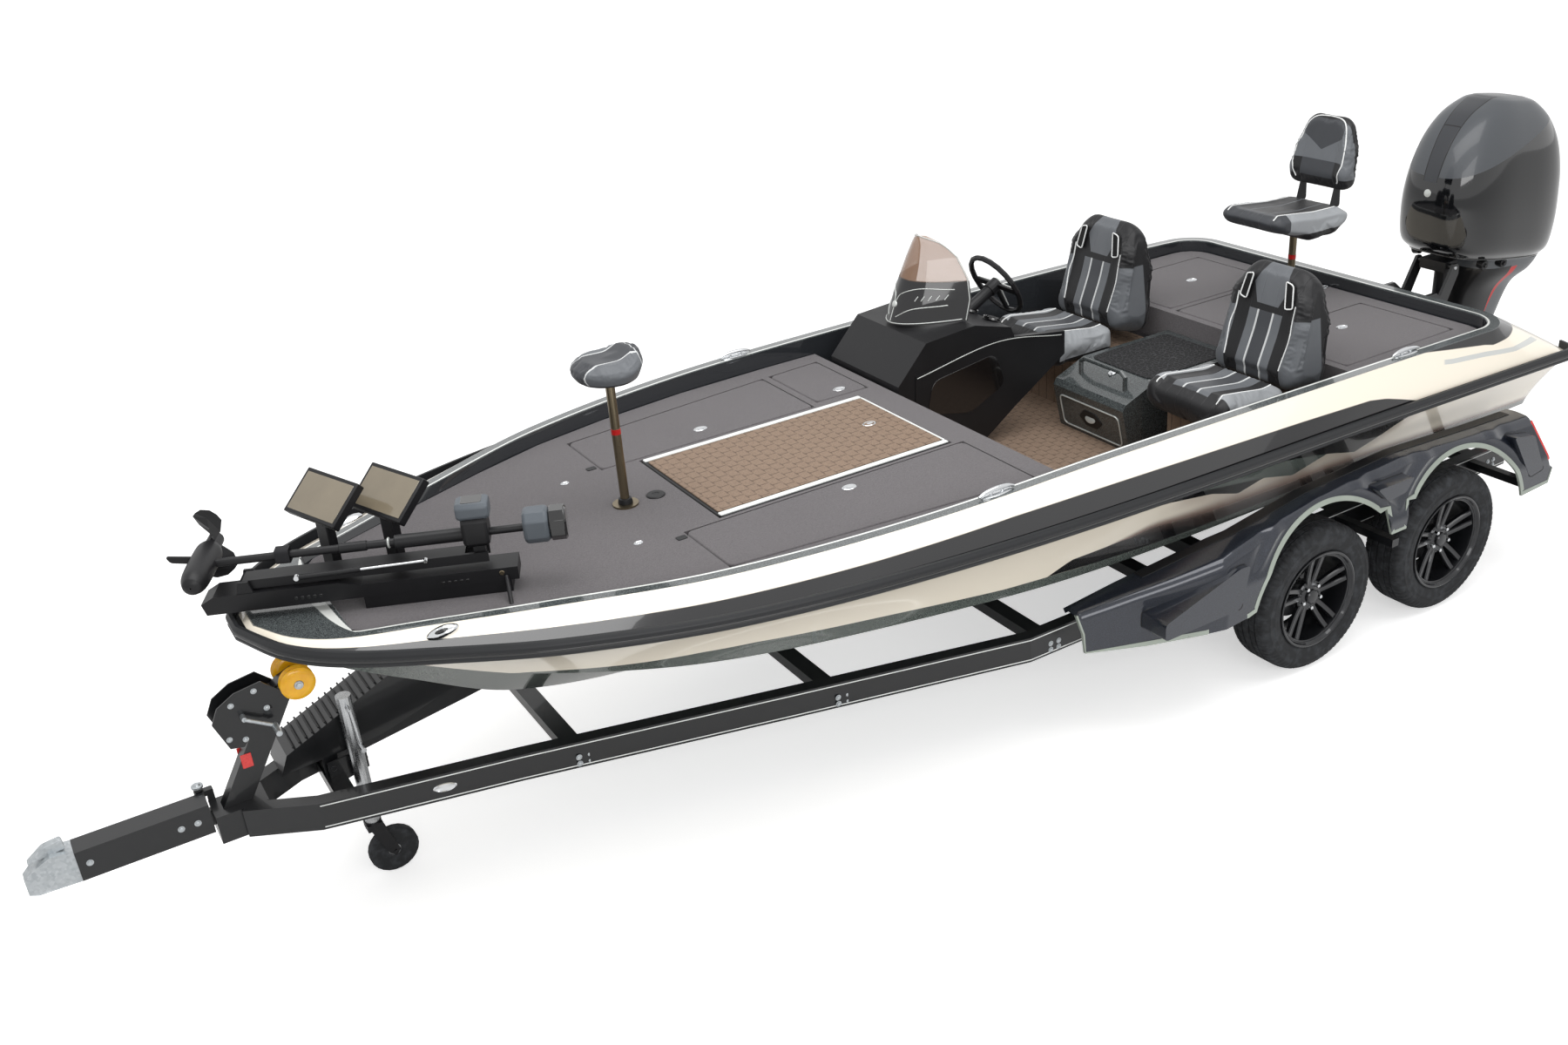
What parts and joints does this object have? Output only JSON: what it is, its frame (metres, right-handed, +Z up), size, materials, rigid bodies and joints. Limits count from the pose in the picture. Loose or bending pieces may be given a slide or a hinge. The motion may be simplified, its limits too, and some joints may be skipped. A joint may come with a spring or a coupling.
{
  "type": "bass boat on tandem-axle trailer",
  "caption": "Decked bass fishing boat with outboard, bow motor, pedestal seats and side console, standing on its tandem-axle trailer",
  "frame": {"origin": "on the ground below the middle of the rig's bounding box", "axes": "+X forward to the bow and the coupler, +Y to port, +Z up"},
  "size_m": [8.407, 2.58, 2.2253],
  "materials": {
    "hull": "cream gelcoat with black and grey bands",
    "gunwale_cap": "cream gelcoat outside, grey flake inside",
    "rub_rail": "black rub rail",
    "bow_deck": "grey-brown carpet",
    "rear_deck": "grey-brown carpet",
    "cockpit_floor": "brown carpet",
    "cockpit_step": "grey flake",
    "driver_seat": "grey and black vinyl",
    "passenger_seat": "grey and black vinyl",
    "console": "gloss black",
    "windshield": "smoked acrylic",
    "steering_wheel": "black",
    "bow_pedestal": "bronze anodised",
    "rear_pedestal": "bronze anodised",
    "bow_seat": "grey vinyl",
    "rear_seat_cushion": "grey and black vinyl",
    "rear_seat_backrest": "grey and black vinyl",
    "sonar_display_forward": "black",
    "sonar_display_aft": "black",
    "trailer_frame": "gloss black with pale stripes",
    "winch_stand": "black",
    "bow_roller": "amber",
    "step_board": "black",
    "bunk_port": "dark carpet",
    "bunk_starboard": "dark carpet",
    "fender_port": "blue-black metallic",
    "fender_starboard": "blue-black metallic",
    "axle_front": "black",
    "axle_rear": "black",
    "tongue": "black",
    "coupler": "zinc plated",
    "jack_leg": "black",
    "jack_fork": "galvanised",
    "jack_wheel": "black",
    "jack_plate": "black",
    "clamp_bracket": "black",
    "swivel_bracket": "black",
    "motor_cowl": "gloss black",
    "motor_leg": "dark grey",
    "propeller": "polished",
    "trolling_base": "black",
    "trolling_arm": "black",
    "trolling_shaft": "black",
    "trolling_propeller": "black",
    "rod_lid_port": "grey-brown carpet",
    "rod_lid_starboard": "grey-brown carpet",
    "day_box_lid": "grey-brown carpet",
    "rear_lid_port": "grey-brown carpet",
    "rear_lid_starboard": "grey-brown carpet",
    "livewell_lid": "grey-brown carpet",
    "bow_hatch": "brown patterned mat",
    "tyre_front_port": "black",
    "rim_front_port": "satin black",
    "tyre_front_starboard": "black",
    "rim_front_starboard": "satin black",
    "tyre_rear_port": "black",
    "rim_rear_port": "satin black",
    "tyre_rear_starboard": "black",
    "rim_rear_starboard": "satin black"
  },
  "bodies": {
    "rig": {"hull": "hull", "gunwale_cap": "gunwale_cap", "rub_rail": "rub_rail", "bow_deck": "bow_deck", "rear_deck": "rear_deck", "cockpit_floor": "cockpit_floor", "cockpit_step": "cockpit_step", "driver_seat": "driver_seat", "passenger_seat": "passenger_seat", "console": "console", "windshield": "windshield", "bow_pedestal": "bow_pedestal", "rear_pedestal": "rear_pedestal", "sonar_display_forward": "sonar_display_forward", "sonar_display_aft": "sonar_display_aft", "trailer_frame": "trailer_frame", "winch_stand": "winch_stand", "bow_roller": "bow_roller", "step_board": "step_board", "bunk_port": "bunk_port", "bunk_starboard": "bunk_starboard", "fender_port": "fender_port", "fender_starboard": "fender_starboard", "axle_front": "axle_front", "axle_rear": "axle_rear", "jack_plate": "jack_plate", "clamp_bracket": "clamp_bracket", "trolling_base": "trolling_base"},
    "wheel_front_port": {"tyre_front_port": "tyre_front_port", "rim_front_port": "rim_front_port"},
    "wheel_front_starboard": {"tyre_front_starboard": "tyre_front_starboard", "rim_front_starboard": "rim_front_starboard"},
    "wheel_rear_port": {"tyre_rear_port": "tyre_rear_port", "rim_rear_port": "rim_rear_port"},
    "wheel_rear_starboard": {"tyre_rear_starboard": "tyre_rear_starboard", "rim_rear_starboard": "rim_rear_starboard"},
    "steering": {"steering_wheel": "steering_wheel"},
    "bow_seat_top": {"bow_seat": "bow_seat"},
    "rear_seat": {"rear_seat_cushion": "rear_seat_cushion"},
    "rear_seat_back": {"rear_seat_backrest": "rear_seat_backrest"},
    "tongue": {"tongue": "tongue", "coupler": "coupler"},
    "jack": {"jack_leg": "jack_leg"},
    "castor": {"jack_fork": "jack_fork"},
    "jack_wheel": {"jack_wheel": "jack_wheel"},
    "motor_bracket": {"swivel_bracket": "swivel_bracket"},
    "outboard": {"motor_cowl": "motor_cowl", "motor_leg": "motor_leg"},
    "propeller": {"propeller": "propeller"},
    "bow_motor_arm": {"trolling_arm": "trolling_arm"},
    "bow_motor": {"trolling_shaft": "trolling_shaft"},
    "bow_motor_propeller": {"trolling_propeller": "trolling_propeller"},
    "rod_lid_port": {"rod_lid_port": "rod_lid_port"},
    "rod_lid_starboard": {"rod_lid_starboard": "rod_lid_starboard"},
    "day_box_lid": {"day_box_lid": "day_box_lid"},
    "bow_hatch": {"bow_hatch": "bow_hatch"},
    "rear_lid_port": {"rear_lid_port": "rear_lid_port"},
    "rear_lid_starboard": {"rear_lid_starboard": "rear_lid_starboard"},
    "livewell_lid": {"livewell_lid": "livewell_lid"}
  },
  "joints": [
    {"name": "wheel_front_port_spin", "type": "hinge", "parent": "rig", "child": "wheel_front_port", "pos_m": [-1.1175, 1.1315, 0.3628], "axis": [0, 1, 0], "continuous": true},
    {"name": "wheel_front_starboard_spin", "type": "hinge", "parent": "rig", "child": "wheel_front_starboard", "pos_m": [-1.1175, -1.1315, 0.3628], "axis": [0, 1, 0], "continuous": true},
    {"name": "wheel_rear_port_spin", "type": "hinge", "parent": "rig", "child": "wheel_rear_port", "pos_m": [-2.0265, 1.1315, 0.3628], "axis": [0, 1, 0], "continuous": true},
    {"name": "wheel_rear_starboard_spin", "type": "hinge", "parent": "rig", "child": "wheel_rear_starboard", "pos_m": [-2.0265, -1.1315, 0.3628], "axis": [0, 1, 0], "continuous": true},
    {"name": "steering_wheel_turn", "type": "hinge", "parent": "rig", "child": "steering", "pos_m": [-0.7035, -0.6, 1.545], "axis": [0.8829, 0, -0.4695], "range_deg": [-540, 540]},
    {"name": "bow_seat_swivel", "type": "hinge", "parent": "rig", "child": "bow_seat_top", "pos_m": [1.709, 0, 1.8], "axis": [0, 0, 1], "continuous": true},
    {"name": "rear_seat_swivel", "type": "hinge", "parent": "rig", "child": "rear_seat", "pos_m": [-2.1955, 0, 1.64], "axis": [0, 0, 1], "continuous": true},
    {"name": "rear_backrest_fold", "type": "hinge", "parent": "rear_seat", "child": "rear_seat_back", "pos_m": [-2.3705, 0, 1.8553], "axis": [0, 1, 0], "range_deg": [0, 85]},
    {"name": "tongue_swing", "type": "hinge", "parent": "rig", "child": "tongue", "pos_m": [3.5665, -0.076, 0.5], "axis": [0, 0, -1], "range_deg": [0, 90]},
    {"name": "jack_swing", "type": "hinge", "parent": "rig", "child": "jack", "pos_m": [2.9865, 0.02, 0.53], "axis": [0, 1, 0], "range_deg": [0, 90]},
    {"name": "castor_swivel", "type": "hinge", "parent": "jack", "child": "castor", "pos_m": [2.9865, 0.02, 0.2665], "axis": [0, 0, 1], "continuous": true},
    {"name": "jack_wheel_spin", "type": "hinge", "parent": "castor", "child": "jack_wheel", "pos_m": [2.9315, 0.02, 0.1015], "axis": [0, 1, 0], "continuous": true},
    {"name": "motor_tilt", "type": "hinge", "parent": "rig", "child": "motor_bracket", "pos_m": [-3.3935, 0, 1.21], "axis": [0, 1, 0], "range_deg": [0, 65]},
    {"name": "motor_steer", "type": "hinge", "parent": "motor_bracket", "child": "outboard", "pos_m": [-3.4635, 0, 1.21], "axis": [0, 0, 1], "range_deg": [-30, 30]},
    {"name": "propeller_spin", "type": "hinge", "parent": "outboard", "child": "propeller", "pos_m": [-3.9635, 0, 0.4], "axis": [1, 0, 0], "continuous": true},
    {"name": "bow_motor_deploy", "type": "hinge", "parent": "rig", "child": "bow_motor_arm", "pos_m": [3.2101, -0.0326, 1.42], "axis": [0.4163, 0.9092, 0], "range_deg": [0, 150]},
    {"name": "bow_motor_upright", "type": "hinge", "parent": "bow_motor_arm", "child": "bow_motor", "pos_m": [2.4373, 0.3213, 1.435], "axis": [0.4163, 0.9092, 0], "range_deg": [-60, 0]},
    {"name": "bow_propeller_spin", "type": "hinge", "parent": "bow_motor", "child": "bow_motor_propeller", "pos_m": [3.2786, -0.2072, 1.505], "axis": [0.4163, 0.9092, 0], "continuous": true},
    {"name": "rod_lid_port_open", "type": "hinge", "parent": "rig", "child": "rod_lid_port", "pos_m": [0.2665, 0.895, 1.274], "axis": [-0.9953, 0.0966, 0], "range_deg": [0, 80]},
    {"name": "rod_lid_starboard_open", "type": "hinge", "parent": "rig", "child": "rod_lid_starboard", "pos_m": [0.5465, -0.87, 1.274], "axis": [0.9951, 0.0986, 0], "range_deg": [0, 80]},
    {"name": "day_box_lid_open", "type": "hinge", "parent": "rig", "child": "day_box_lid", "pos_m": [0.2165, -0.895, 1.274], "axis": [0.9975, 0.07, 0], "range_deg": [0, 80]},
    {"name": "bow_hatch_open", "type": "hinge", "parent": "rig", "child": "bow_hatch", "pos_m": [1.4635, 0.3645, 1.274], "axis": [0, 1, 0], "range_deg": [0, 75]},
    {"name": "rear_lid_port_open", "type": "hinge", "parent": "rig", "child": "rear_lid_port", "pos_m": [-2.3935, 0.86, 1.274], "axis": [-1, 0, 0], "range_deg": [0, 80]},
    {"name": "rear_lid_starboard_open", "type": "hinge", "parent": "rig", "child": "rear_lid_starboard", "pos_m": [-2.3935, -0.86, 1.274], "axis": [1, 0, 0], "range_deg": [0, 80]},
    {"name": "livewell_lid_open", "type": "hinge", "parent": "rig", "child": "livewell_lid", "pos_m": [-1.6335, 0.255, 1.274], "axis": [0, 1, 0], "range_deg": [0, 75]}
  ],
  "couplings": [
    {"joint": "steering_wheel_turn", "follows": "motor_steer", "ratio": 18},
    {"joint": "bow_motor_upright", "follows": "bow_motor_deploy", "ratio": -0.4}
  ]
}
